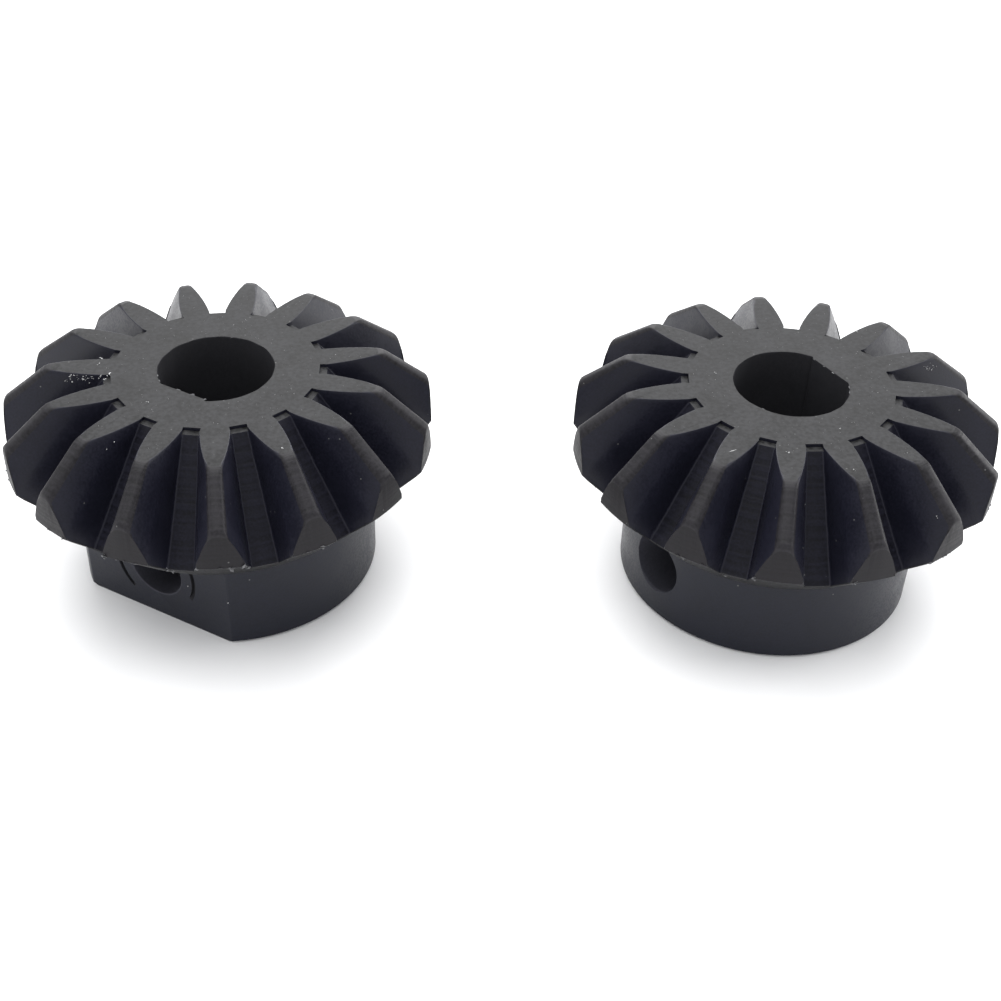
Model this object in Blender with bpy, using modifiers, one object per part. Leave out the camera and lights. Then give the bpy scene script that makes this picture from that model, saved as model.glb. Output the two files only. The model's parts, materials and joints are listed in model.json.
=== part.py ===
"""Straight bevel (miter) gear pair, 15 teeth each, 90 degree shafts, D-bores, with their set screws.

Both gears are the same part. They stand on their hubs side by side, teeth up, out of mesh.
Metres, +Z up. The origin is on the surface they stand on, midway between the two gear axes.
"""
import math

import bmesh
import bpy
from mathutils import Matrix, Vector

MM = 0.001

# Tooth system: slightly long tips, and tip and root cones that share one apex with the pitch cone
MODULE = 2.5 * MM
TEETH = 15
PITCH_CONE = math.radians(45.0)
ADDENDUM = 1.14 * MODULE
DEDENDUM = 1.25 * MODULE
PITCH_R = MODULE * TEETH / 2
CONE_DISTANCE = PITCH_R / math.sin(PITCH_CONE)

# A tooth's thickness in the top face and at the rim
TOP_TIP_WIDTH = 1.0 * MM
TOP_ROOT_WIDTH = 2.5 * MM
RIM_TIP_WIDTH = 1.05 * MM
RIM_FOOT_WIDTH = 4.05 * MM
RIM_ROOT_WIDTH = 4.5 * MM

# Blank
HEIGHT = 20.2 * MM
APEX_Z = 31.9 * MM
OUTER_R = 18.7 * MM
OUTER_FACE_FOOT_Z = 13.3 * MM
BACK_FACE_Z = 8.8 * MM
HUB_R = 13.3 * MM
HUB_FLAT = 10.8 * MM
HUB_CHAMFER = 0.4 * MM
NOTCH_R = 8.9 * MM
NOTCH_DEPTH = 0.3 * MM

# Bore and cross holes
BORE_R = 5.0 * MM
BORE_FLAT = 4.3 * MM
CROSS_HOLE_R = 2.65 * MM
CROSS_HOLE_Z = 5.25 * MM
SEAT_RING_R = 4.0 * MM
SEAT_RING_WIDTH = 0.35 * MM
SEAT_RING_DEPTH = 0.3 * MM

# Set screw, drawn at its root diameter inside the tapped hole
SCREW_R = 2.3 * MM
SCREW_LENGTH = 4.0 * MM
SCREW_TIP = BORE_FLAT + 0.3 * MM
SCREW_CHAMFER = 0.4 * MM
SOCKET_ACROSS_FLATS = 3.0 * MM
SOCKET_DEPTH = 2.2 * MM

# Layout: axis positions, the way each gear's flats face, and where its first tooth points
AXIS_SPACING = 49.8 * MM
GEARS = {
    "left": (-AXIS_SPACING / 2, math.radians(241.8)),
    "right": (AXIS_SPACING / 2, math.radians(33.7)),
}
FLAT_TO_TOOTH = math.pi / TEETH

TURNED_STEPS = 90
FLANK_STEPS = 6
OVERCUT = 1.0 * MM


def clear_scene():
    for item in list(bpy.data.objects):
        bpy.data.objects.remove(item, do_unlink=True)


def new_collection(name):
    collection = bpy.data.collections.new(name)
    bpy.context.scene.collection.children.link(collection)
    return collection


def make_material(name, colour, roughness, metallic):
    material = bpy.data.materials.new(name)
    material.use_nodes = True
    shader = material.node_tree.nodes["Principled BSDF"]
    shader.inputs["Base Color"].default_value = (*colour, 1.0)
    shader.inputs["Roughness"].default_value = roughness
    shader.inputs["Metallic"].default_value = metallic
    return material


def mesh_object(name, bm, collection):
    mesh = bpy.data.meshes.new(name)
    bm.to_mesh(mesh)
    bm.free()
    item = bpy.data.objects.new(name, mesh)
    collection.objects.link(item)
    return item


def cutter_object(name, bm):
    item = mesh_object(name, bm, CUTTERS)
    item.hide_render = True
    item.display_type = "WIRE"
    return item


def turn(item, steps):
    screw = item.modifiers.new("Turned", "SCREW")
    screw.steps = steps
    screw.render_steps = steps
    screw.use_merge_vertices = True
    screw.merge_threshold = 0.00001


def cut(item, cutter):
    boolean = item.modifiers.new("Cut " + cutter.name, "BOOLEAN")
    boolean.operation = "DIFFERENCE"
    boolean.object = cutter
    boolean.solver = "EXACT"


def apply_modifiers(item):
    """Bakes the modifiers into the mesh, so that later cuts and the shading see the final faces."""
    graph = bpy.context.evaluated_depsgraph_get()
    mesh = bpy.data.meshes.new_from_object(item.evaluated_get(graph))
    item.modifiers.clear()
    item.data = mesh


def profile_bmesh(points):
    """A turned outline in the XZ plane as a chain of edges, from top to bottom down its outer side."""
    bm = bmesh.new()
    verts = [bm.verts.new((r, 0.0, z)) for r, z in points]
    for start, end in zip(verts, verts[1:]):
        bm.edges.new((start, end))
    return bm


def cone_angle(height):
    """Angle from the axis, at the apex, of the cone that lies this far above the pitch cone."""
    return PITCH_CONE + math.atan(height / CONE_DISTANCE)


def half_width_at_top(height):
    """Half a tooth's thickness in the top face: full at the root, convex to its tip."""
    rise = (height + DEDENDUM) / (ADDENDUM + DEDENDUM)
    return TOP_TIP_WIDTH / 2 + (TOP_ROOT_WIDTH - TOP_TIP_WIDTH) / 2 * (1 - rise ** 2.2)


def half_width_at_rim(height):
    """Half a tooth's thickness at the rim, where its sides are straight."""
    if height > 0:
        return (RIM_FOOT_WIDTH + (RIM_TIP_WIDTH - RIM_FOOT_WIDTH) * height / ADDENDUM) / 2
    return (RIM_FOOT_WIDTH - (RIM_ROOT_WIDTH - RIM_FOOT_WIDTH) * height / DEDENDUM) / 2


def rim_drop(slope):
    """How far below the apex a line of this slope leaves the blank, on its rim or on its back cone."""
    on_rim = OUTER_R / slope
    if APEX_Z - on_rim > OUTER_FACE_FOOT_Z:
        return on_rim
    return APEX_Z - (APEX_Z * slope - OUTER_R + OUTER_FACE_FOOT_Z) / (1 + slope)


def apex_ray(cone, turn_angle, drop):
    """The point on a line through the apex, this far below it."""
    r = drop * math.tan(cone)
    return Vector((r * math.cos(turn_angle), r * math.sin(turn_angle), APEX_Z - drop))


def tooth_half_angle(height, drop):
    """Half the angle a tooth fills about the gear's axis. It changes evenly from the top face to the rim."""
    slope = math.tan(cone_angle(height))
    top_drop = APEX_Z - HEIGHT
    exit_drop = rim_drop(slope)
    at_top = half_width_at_top(height) / (top_drop * slope)
    at_rim = half_width_at_rim(height) / (exit_drop * slope)
    return at_top + (at_rim - at_top) * (drop - top_drop) / (exit_drop - top_drop)


def space_section(drop):
    """Cone angle and half width, about the axis, of a tooth space, from its root to past the tips."""
    heights = [-DEDENDUM + (ADDENDUM + DEDENDUM) * i / FLANK_STEPS for i in range(FLANK_STEPS + 1)]
    sides = [(cone_angle(h), math.pi / TEETH - tooth_half_angle(h, drop)) for h in heights]
    tip_cone, tip_half = sides[-1]
    return sides + [(tip_cone + math.radians(4.0), tip_half)]


def tooth_spaces(first_tooth):
    """Cutter for all the tooth spaces: one loft for each, from above the top face out past the rim."""
    near_drop = APEX_Z - HEIGHT - 0.6 * MM
    far_drop = APEX_Z - BACK_FACE_Z + OVERCUT
    bm = bmesh.new()
    for tooth in range(TEETH):
        centre = first_tooth + (tooth + 0.5) * 2 * math.pi / TEETH
        ends = []
        for drop in (near_drop, far_drop):
            sides = space_section(drop)
            section = [(c, -half) for c, half in reversed(sides)] + sides
            ends.append([bm.verts.new(apex_ray(c, centre + a, drop)) for c, a in section])
        near, far = ends
        count = len(near)
        for i in range(count):
            j = (i + 1) % count
            bm.faces.new((near[i], near[j], far[j], far[i]))
        bm.faces.new(near[::-1])
        bm.faces.new(far)
    bmesh.ops.recalc_face_normals(bm, faces=bm.faces)
    return cutter_object("tooth_spaces", bm)


def box_bmesh(bm, low, high, matrix):
    centre = [(a + b) / 2 for a, b in zip(low, high)]
    size = [b - a for a, b in zip(low, high)]
    place = matrix @ Matrix.Translation(centre) @ Matrix.Diagonal((*size, 1.0))
    bmesh.ops.create_cube(bm, size=1.0, matrix=place)


def notches(first_tooth):
    """Cutter for the shallow step at the small end of each tooth space."""
    half_width = NOTCH_R * space_section(APEX_Z - HEIGHT)[0][1]
    bm = bmesh.new()
    for tooth in range(TEETH):
        spin = Matrix.Rotation(first_tooth + (tooth + 0.5) * 2 * math.pi / TEETH, 4, "Z")
        low = (NOTCH_R, -half_width, HEIGHT - NOTCH_DEPTH)
        high = (NOTCH_R + OVERCUT, half_width, HEIGHT + OVERCUT)
        box_bmesh(bm, low, high, spin)
    return cutter_object("notches", bm)


def bore_cutter():
    """A round bore with one flat, which faces +X before the gear is turned to its place."""
    bm = bmesh.new()
    corner = math.acos(BORE_FLAT / BORE_R)
    steps = 60
    sweep = 2 * math.pi - 2 * corner
    angles = [corner + sweep * i / steps for i in range(steps + 1)]
    loop = [bm.verts.new((BORE_R * math.cos(a), BORE_R * math.sin(a), -OVERCUT)) for a in angles]
    base = bm.faces.new(loop)
    grown = bmesh.ops.extrude_face_region(bm, geom=[base])
    top = [v for v in grown["geom"] if isinstance(v, bmesh.types.BMVert)]
    bmesh.ops.translate(bm, verts=top, vec=(0.0, 0.0, HEIGHT + 2 * OVERCUT))
    bmesh.ops.recalc_face_normals(bm, faces=bm.faces)
    return cutter_object("d_bore", bm)


def hub_flat_cutter():
    bm = bmesh.new()
    low = (HUB_FLAT, -HUB_R, -OVERCUT)
    high = (HUB_R + OVERCUT, HUB_R, BACK_FACE_Z)
    box_bmesh(bm, low, high, Matrix.Identity(4))
    return cutter_object("hub_flat", bm)


def along_x(start, end, z):
    """Matrix that lays a unit-high cylinder along X, between two places on it."""
    turned = Matrix.Rotation(math.pi / 2, 4, "Y")
    return Matrix.Translation(((start + end) / 2, 0.0, z)) @ turned


def cross_hole_cutter():
    """One straight hole through both walls of the hub."""
    bm = bmesh.new()
    reach = HUB_R + OVERCUT
    place = along_x(-reach, reach, CROSS_HOLE_Z)
    bmesh.ops.create_cone(
        bm, cap_ends=True, segments=32, radius1=CROSS_HOLE_R, radius2=CROSS_HOLE_R,
        depth=2 * reach, matrix=place,
    )
    return cutter_object("cross_hole", bm)


def seat_ring_cutter():
    """The shallow ring around the hole on the hub's flat. It stops just short of the back face."""
    inner = SEAT_RING_R - SEAT_RING_WIDTH / 2
    outer = SEAT_RING_R + SEAT_RING_WIDTH / 2
    bottom = HUB_FLAT - SEAT_RING_DEPTH
    top = HUB_FLAT + OVERCUT
    outline = [(outer, top), (outer, bottom), (inner, bottom), (inner, top), (outer, top)]
    item = cutter_object("seat_ring", profile_bmesh(outline))
    turn(item, 48)
    apply_modifiers(item)
    place = Matrix.Translation((0.0, 0.0, CROSS_HOLE_Z)) @ Matrix.Rotation(math.pi / 2, 4, "Y")
    item.data.transform(place)
    bm = bmesh.new()
    low = (0.0, -HUB_R, BACK_FACE_Z - SEAT_RING_WIDTH)
    high = (HUB_R + OVERCUT, HUB_R, HEIGHT)
    box_bmesh(bm, low, high, Matrix.Identity(4))
    cut(item, cutter_object("seat_ring_top", bm))
    apply_modifiers(item)
    return item


def blank_outline():
    """Half section of the blank from the axis at the top to the axis at the bottom."""
    tip_slope = math.tan(cone_angle(ADDENDUM))
    crown_r = (APEX_Z - HEIGHT) * tip_slope
    corner_z = APEX_Z - OUTER_R / tip_slope
    back_r = OUTER_R - (OUTER_FACE_FOOT_Z - BACK_FACE_Z)
    return [
        (0.0, HEIGHT),
        (crown_r, HEIGHT),
        (OUTER_R, corner_z),
        (OUTER_R, OUTER_FACE_FOOT_Z),
        (back_r, BACK_FACE_Z),
        (HUB_R, BACK_FACE_Z),
        (HUB_R, HUB_CHAMFER),
        (HUB_R - HUB_CHAMFER, 0.0),
        (0.0, 0.0),
    ]


def make_gear(side, material):
    """Blank turned, tooth spaces, notches, hub flat, D-bore and cross hole cut, in that order."""
    axis_x, facing = GEARS[side]
    gear = mesh_object(side + "_gear", profile_bmesh(blank_outline()), PARTS)
    turn(gear, TURNED_STEPS)
    cutters = [
        tooth_spaces(FLAT_TO_TOOTH), notches(FLAT_TO_TOOTH), hub_flat_cutter(),
        bore_cutter(), cross_hole_cutter(), seat_ring_cutter(),
    ]
    for cutter in cutters:
        cut(gear, cutter)
    apply_modifiers(gear)
    for cutter in cutters:
        cutter.location.x = axis_x
        cutter.rotation_euler.z = facing
    gear.data.shade_smooth()
    gear.data.set_sharp_from_angle(angle=math.radians(25.0))
    gear.data.materials.clear()
    gear.data.materials.append(material)
    gear.location = (axis_x, 0.0, 0.0)
    gear.rotation_euler = (0.0, 0.0, facing)
    return gear


def make_set_screw(side, gear, material):
    """Socket set screw with a flat point, in the hub wall that carries the flats."""
    half = SCREW_LENGTH / 2
    outline = [
        (0.0, half),
        (SCREW_R - SCREW_CHAMFER / 2, half),
        (SCREW_R, half - SCREW_CHAMFER / 2),
        (SCREW_R, -half + SCREW_CHAMFER),
        (SCREW_R - SCREW_CHAMFER, -half),
        (0.0, -half),
    ]
    screw = mesh_object(side + "_set_screw", profile_bmesh(outline), PARTS)
    turn(screw, 32)
    bm = bmesh.new()
    socket_r = SOCKET_ACROSS_FLATS / math.sqrt(3.0)
    place = Matrix.Translation((0.0, 0.0, half + (OVERCUT - SOCKET_DEPTH) / 2))
    bmesh.ops.create_cone(
        bm, cap_ends=True, segments=6, radius1=socket_r, radius2=socket_r,
        depth=SOCKET_DEPTH + OVERCUT, matrix=place,
    )
    socket = cutter_object(side + "_hex_socket", bm)
    cut(screw, socket)
    apply_modifiers(screw)
    screw.data.shade_smooth()
    screw.data.set_sharp_from_angle(angle=math.radians(35.0))
    screw.data.materials.clear()
    screw.data.materials.append(material)
    screw.parent = gear
    screw.location = (SCREW_TIP + half, 0.0, CROSS_HOLE_Z)
    screw.rotation_euler = (0.0, math.pi / 2, 0.0)
    socket.parent = screw
    return screw


def main():
    gear_plastic = make_material("black_acetal", (0.012, 0.012, 0.014), 0.5, 0.0)
    screw_steel = make_material("black_oxide_steel", (0.02, 0.02, 0.022), 0.4, 1.0)
    for side in GEARS:
        gear = make_gear(side, gear_plastic)
        make_set_screw(side, gear, screw_steel)


clear_scene()
PARTS = new_collection("bevel_gear_pair")
CUTTERS = new_collection("cutters")
main()
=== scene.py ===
"""Looks of the bevel gear pair: gears with rounded, slightly uneven edges, burrs and dust, set screws,
materials, floor, light and camera.

Lengths are millimetres until a mesh is built; the floor and the lights are placed in metres. Each gear is
built about its own bore axis with its flats towards +X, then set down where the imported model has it.
"""
import json
import math
import random

import bmesh
import bpy
from mathutils import Matrix, Vector, noise
from mathutils.geometry import tessellate_polygon


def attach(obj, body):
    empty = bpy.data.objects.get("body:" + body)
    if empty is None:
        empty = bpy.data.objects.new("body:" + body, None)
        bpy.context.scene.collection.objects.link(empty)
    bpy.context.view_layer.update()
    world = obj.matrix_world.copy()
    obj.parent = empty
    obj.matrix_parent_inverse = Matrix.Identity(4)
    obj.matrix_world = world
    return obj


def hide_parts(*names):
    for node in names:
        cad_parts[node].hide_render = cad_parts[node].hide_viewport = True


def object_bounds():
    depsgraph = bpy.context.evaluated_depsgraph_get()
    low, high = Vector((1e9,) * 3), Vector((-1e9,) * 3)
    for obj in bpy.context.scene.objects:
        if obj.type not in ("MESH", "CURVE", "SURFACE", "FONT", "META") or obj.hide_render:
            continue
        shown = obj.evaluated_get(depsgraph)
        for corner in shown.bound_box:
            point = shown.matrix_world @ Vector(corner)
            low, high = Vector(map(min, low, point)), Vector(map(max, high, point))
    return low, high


MM = 0.001
TINY = 1e-6
UP = Vector((0.0, 0.0, 1.0))

# Tooth system
MODULE = 2.5
TEETH = 15
PITCH_CONE = math.radians(45.0)
ADDENDUM = 1.14 * MODULE
DEDENDUM = 1.25 * MODULE
PITCH_R = MODULE * TEETH / 2
CONE_DISTANCE = PITCH_R / math.sin(PITCH_CONE)
PITCH = 2 * math.pi / TEETH
FIRST_TOOTH = PITCH / 2

# Blank. Its top is 0.08 lower than the CAD's, so that the dust on it stays inside the CAD's box.
HEIGHT = 20.12
APEX_Z = 31.9
TOP_DROP = APEX_Z - HEIGHT
OUTER_R = 18.66
OUTER_FACE_FOOT_Z = 13.3
BACK_FACE_Z = 8.8
BACK_R = OUTER_R - (OUTER_FACE_FOOT_Z - BACK_FACE_Z)
HUB_R = 13.3
HUB_FLAT = 10.8
HUB_CHAMFER = 0.3
HUB_FLAT_CHAMFER = 0.1
HUB_CORNER_ROUND = 0.15
NOTCH_R = 8.9
NOTCH_DEPTH = 0.3

# Bore: its flat has a small step at one end, and its edge wavers
BORE_R = 5.0
BORE_FLAT = 4.3
BORE_STEP = 0.2
BORE_WAVER = 0.06
BORE_WAVER_PER_MM = 0.9
BORE_WAVER_SEED = {"left": 3.1, "right": 8.7}
BORE_CHAMFER = 0.15
BORE_TOP_BREAK_DEPTH = 0.05
BORE_TOP_BREAK = 0.04

# Cross hole: (place along it, radius), from the axis out through the flat and in through the round wall.
# The drill wandered up on its way through the round wall.
CROSS_HOLE_R = 2.65
CROSS_HOLE_Z = 5.25
ROUND_WALL_RISE = 0.2
FLAT_WALL_HOLE = (
    (0.0, 0.0), (0.0, CROSS_HOLE_R), (HUB_FLAT - 0.12, CROSS_HOLE_R), (HUB_FLAT - 0.04, CROSS_HOLE_R + 0.05),
    (HUB_FLAT, CROSS_HOLE_R + 0.14), (HUB_FLAT + 0.5, CROSS_HOLE_R + 0.9), (HUB_FLAT + 0.5, 0.0),
)
ROUND_WALL_HOLE = (
    (-HUB_R - 1.0, 0.0), (-HUB_R - 1.0, CROSS_HOLE_R + 0.8), (-HUB_R + 0.02, CROSS_HOLE_R + 0.2),
    (-HUB_R + 0.12, CROSS_HOLE_R + 0.1), (-HUB_R + 0.3, CROSS_HOLE_R + 0.04), (0.0, CROSS_HOLE_R + 0.04),
    (0.0, 0.0),
)

# Ring that a spot facer left around the hole: it bit where the cosine of the angle is above a limit
SEAT_RING_R = 4.05
SEAT_RING_WIDTH = 0.5
SEAT_RING_DEPTH = 0.32
SEAT_RING_FLOOR_SHARE = 0.7
SEAT_RING_TILT = 0.17
SEAT_RING_BITE_FROM = 0.74
SEAT_RING_BITE_SPAN = 0.12
SEAT_RING_CLEAR = 0.1

# Set screw
SCREW_CREST_R = 2.6
SCREW_ROOT_R = 2.3
SCREW_PITCH = 1.0
SCREW_LENGTH = 4.0
SCREW_TIP = BORE_FLAT + 0.3
SCREW_POINT_CHAMFER = 0.4
SCREW_POINT_LENGTH = 0.35
SCREW_TOP_CHAMFER = 0.15
THREAD_RUN_OUT = 0.6
THREAD_RUN_IN = 0.35
SOCKET_ACROSS_FLATS = 3.0
SOCKET_DEPTH = 2.2
SOCKET_CHAMFER = 0.12
SOCKET_PIT = 0.5
SOCKET_TURN = 0.3

# A tooth's thickness in the top face and at the rim
TOP_TIP_WIDTH = 1.0
TOP_ROOT_WIDTH = 2.5
TOP_FLANK_CURVE = 2.2
RIM_TIP_WIDTH = 1.05
RIM_FOOT_WIDTH = 4.05
RIM_ROOT_WIDTH = 4.5

# Rounded corners of a tooth's outline, and where its outline gets extra points in the tip and the root
TOP_TIP_ROUND = 0.32
TOP_ROOT_ROUND = 0.12
RIM_TIP_ROUND = 0.4
RIM_ROOT_ROUND = 0.16
TIP_SPLIT = 0.1
ROOT_SPLITS = (0.45, 0.72)

# Rounded edges at the two ends of a tooth: in the top face (leaf) and at the rim (exit). They widen
# towards the tip, from this share of the addendum on.
LEAF_EDGE = 0.06
LEAF_TIP_EDGE = 0.5
NOTCH_EDGE = 0.02
EXIT_EDGE = 0.09
EXIT_TIP_EDGE = 0.34
TIP_FROM = 0.35

# How far the cutter wavered along the fillets and the tip's edges, at which heights, and how quickly
FILLET_WAVER = 0.07
FILLET_MIDDLE = 0.35
FILLET_REACH = 0.4
TIP_WAVER = 0.02
TIP_REACH = 0.3
WAVER_PER_MM = 1.7
WAVER_EASE_ROWS = 4

# Fineness
FLANK_STEPS = 12
ROUND_STEPS = 4
EDGE_STEPS = 3
FACE_ROWS = 34
LOOP_STEPS = 180
HUB_FLAT_STEPS = 6
BORE_FLAT_STEPS = 8
HOLE_STEPS = 64
SEAT_RING_STEPS = 120
SCREW_STEPS = 60
ROWS_PER_THREAD = 12
GEAR_SHARP_ANGLE = 38.0
SCREW_SHARP_ANGLE = 30.0

# The way each gear's flats face
FACING = {"left": math.radians(241.8), "right": math.radians(33.7)}

# Face zones, in the order of the gear's materials, and those of the litter's
TOP, FLANK, TIP, ROOT, OUTER, BACK, HUB, BORE, EDGE, HOLE = range(10)
BURR, DUST = range(2)

# Larger burrs on the rim, and slivers on the bore's upper edge: degrees from the flats
LITTER_SEED = {"left": 11, "right": 23}
RIM_BURRS = {
    "left": (352.5, 5.8, 6.6, 19.8, 22, 29.8, 38.8, 41.6, 42.6, 62),
    "right": (214, 222, 247, 258),
}
BORE_SLIVERS = (313, 322, 350, 8, 24, 200, 215)
# Dust in the top face: radius, degrees from the flats
TOP_DUST = {
    "left": (
        (9.3, 309.0), (9.05, 307.0), (9.45, 311.5), (10.2, 297.4), (10.2, 293.0), (7.3, 345.5), (13.4, 60.0),
    ),
    "right": ((12.8, 251.0), (10.35, 226.5), (11.4, 16.0), (6.6, 134.7), (7.4, 262.0)),
}
# Dust on the teeth: tooth, side, number of grains, from and to which height on the tooth, and from and to
# which drop below the top face
SIDE_DUST = {
    "left": (
        (12, 1, 40, -2.6, 0.4, 0.1, 0.8),
        (12, 1, 9, -2.9, -2.3, 0.05, 0.4),
        (14, 1, 3, -0.9, 0.1, 0.8, 1.3),
    ),
    "right": (
        (14, -1, 14, 0.6, 2.2, 0.3, 1.0),
        (11, -1, 2, 1.5, 2.2, 3.2, 3.6),
        (9, 1, 4, -2.5, 0.5, 2.0, 5.0),
    ),
}
# Grains on the hub's flat: x, y, z
HUB_DUST = {"left": ((10.8, 3.44, 4.81), (10.8, 3.4, 4.75), (10.83, 7.72, 4.8)), "right": ()}
# Scratches in the top face: radius and degrees of one end, then of the other
SCRATCHES = {"left": (), "right": ((12.45, 203.0, 11.3, 206.3),)}
# How many of the random ones there are, and the sizes of the grains
RANDOM_SLIVERS = 36
RANDOM_RING_DUST = 110
RANDOM_TOOTH_DUST = 60
BURR_SIZE = (0.13, 0.22)
TOP_DUST_SIZE = (0.05, 0.12)
SIDE_DUST_SIZE = (0.04, 0.1)
HUB_DUST_SIZE = 0.09
FINE_DUST_SIZE = (0.015, 0.04)
SCRATCH_WIDTH = 0.07
SCRATCH_DEPTH = 0.02
SCRATCH_RIDGE = 0.06

# How far the litter stays inside the low and the high corner of the CAD's box
LOW_MARGIN = 0.01
HIGH_MARGIN = 0.004

# Materials
BUMP_HEIGHT = 0.012
STEEL_BUMP_HEIGHT = 0.008
FLECKS_PER_MM = 2.2
FLECK_SIZE = 0.2
FLECK_COLOUR = (0.09, 0.09, 0.09)
GRAIN_SHARE = 0.65
GRAIN_HEIGHT = 0.6
CLOUDS_PER_MM = 0.35
MARKS_SHARE = 0.4
GLOSS_SPREAD = 0.07

# Floor and light: metres, watts
FLOOR_SIZE = 6.0
FLOOR_COLOUR = (0.94, 0.94, 0.94, 1.0)
WORLD_COLOUR = (0.97, 0.98, 1.0, 1.0)
WORLD_STRENGTH = 0.9
LIGHTS_AIM = Vector((0.0, 0.0, 0.01))
SOFTBOXES = (
    ("back", (0.0, 0.75, 0.55), 0.9, 9.3),
    ("top", (-0.1, -0.05, 0.9), 0.9, 6.5),
    ("right", (0.75, 0.25, 0.2), 0.5, 3.4),
    ("left", (-0.8, -0.1, 0.2), 0.5, 0.8),
)

# Camera: its place in millimetres, and how it is turned right, tipped down and rolled, in degrees
CAMERA_PLACE = Vector((-1.98, -111.79, 94.73))
CAMERA_YAW, CAMERA_PITCH, CAMERA_ROLL = 1.04, 38.33, 2.11
CAMERA_LENS = 55.7
CAMERA_SENSOR = 36.0


def cone_angle(height):
    return PITCH_CONE + math.atan(height / CONE_DISTANCE)


def rim_drop(slope):
    """How far below the apex a line of this slope leaves the blank, on its rim or on its back cone."""
    on_rim = OUTER_R / slope
    if APEX_Z - on_rim >= OUTER_FACE_FOOT_Z - TINY:
        return on_rim
    return APEX_Z - (APEX_Z * slope - OUTER_R + OUTER_FACE_FOOT_Z) / (1 + slope)


def radius_at_top(height):
    return TOP_DROP * math.tan(cone_angle(height))


def radius_at_rim(height):
    slope = math.tan(cone_angle(height))
    return rim_drop(slope) * slope


def half_width_at_top(height):
    """Half a tooth's thickness in the top face: full at the root, convex to its tip."""
    rise = (height + DEDENDUM) / (ADDENDUM + DEDENDUM)
    return TOP_TIP_WIDTH / 2 + (TOP_ROOT_WIDTH - TOP_TIP_WIDTH) / 2 * (1 - rise ** TOP_FLANK_CURVE)


def half_width_at_rim(height):
    """Half a tooth's thickness at the rim, where its sides look straight."""
    if height > 0:
        return (RIM_FOOT_WIDTH + (RIM_TIP_WIDTH - RIM_FOOT_WIDTH) * height / ADDENDUM) / 2
    return (RIM_FOOT_WIDTH - (RIM_ROOT_WIDTH - RIM_FOOT_WIDTH) * height / DEDENDUM) / 2


def bend(start, corner, end, steps):
    """Points on a curve that rounds a corner off, ends included."""
    points = []
    for i in range(steps + 1):
        t = i / steps
        points.append(start * (1 - t) ** 2 + corner * 2 * t * (1 - t) + end * t ** 2)
    return points


def round_corner(before, corner, after, distance):
    """Points that round the corner of a path off, starting and ending this far from it."""
    start = corner + (before - corner).normalized() * distance
    end = corner + (after - corner).normalized() * distance
    return bend(start, corner, end, ROUND_STEPS)


class Column:
    """One line of a tooth's surface, from the top face to the rim, given by its two ends."""

    def __init__(self, angles, heights, zone):
        self.angles = angles
        self.height = heights[0]
        self.slopes = [math.tan(cone_angle(h)) for h in heights]
        self.zone = zone
        self.exit_drop = rim_drop(self.slopes[1])
        foot_gap = APEX_Z - self.exit_drop - OUTER_FACE_FOOT_Z
        self.on_rim = foot_gap >= -TINY
        self.at_foot = abs(foot_gap) < TINY

    def at(self, drop):
        t = (drop - TOP_DROP) / (self.exit_drop - TOP_DROP)
        angle = self.angles[0] + (self.angles[1] - self.angles[0]) * t
        r = drop * (self.slopes[0] + (self.slopes[1] - self.slopes[0]) * t)
        return Vector((r * math.cos(angle), r * math.sin(angle), APEX_Z - drop))


def half_outline(heights, half_width, radius, tip_round, root_round):
    """Half a tooth's outline at one end, as (angle, height, zone) from its middle to the middle of a space,
    and the place in it where the fillet begins."""
    flank = [Vector((half_width(h), h)) for h in heights]
    tip_middle = Vector((0.0, ADDENDUM))
    root_middle = Vector((PITCH / 2 * radius(-DEDENDUM), -DEDENDUM))
    path = [(tip_middle, TIP), (tip_middle * (1 - TIP_SPLIT) + flank[0] * TIP_SPLIT, TIP)]
    path += [(p, TIP) for p in round_corner(tip_middle, flank[0], flank[1], tip_round)]
    path += [(p, FLANK) for p in flank[1:-1]]
    fillet_start = len(path)
    fillet = round_corner(flank[-2], flank[-1], root_middle, root_round)
    path += [(p, FLANK) for p in fillet[:-1]] + [(fillet[-1], ROOT)]
    path += [(flank[-1] * (1 - t) + root_middle * t, ROOT) for t in ROOT_SPLITS]
    path.append((root_middle, ROOT))
    return [(p.x / radius(p.y), p.y, zone) for p, zone in path], fillet_start


def half_tooth():
    """Pairs of outline points of half a tooth, in the top face and at the rim. One lies on the rim's foot."""
    foot_cone = math.atan(OUTER_R / (APEX_Z - OUTER_FACE_FOOT_Z))
    foot_height = CONE_DISTANCE * math.tan(foot_cone - PITCH_CONE)
    heights = [ADDENDUM - (ADDENDUM + DEDENDUM) * i / FLANK_STEPS for i in range(FLANK_STEPS + 1)]
    nearest = min(range(1, FLANK_STEPS), key=lambda i: abs(heights[i] - foot_height))
    heights[nearest] = foot_height
    top, fillet_start = half_outline(heights, half_width_at_top, radius_at_top, TOP_TIP_ROUND, TOP_ROOT_ROUND)
    rim, _ = half_outline(heights, half_width_at_rim, radius_at_rim, RIM_TIP_ROUND, RIM_ROOT_ROUND)
    return list(zip(top, rim)), fillet_start


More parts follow.
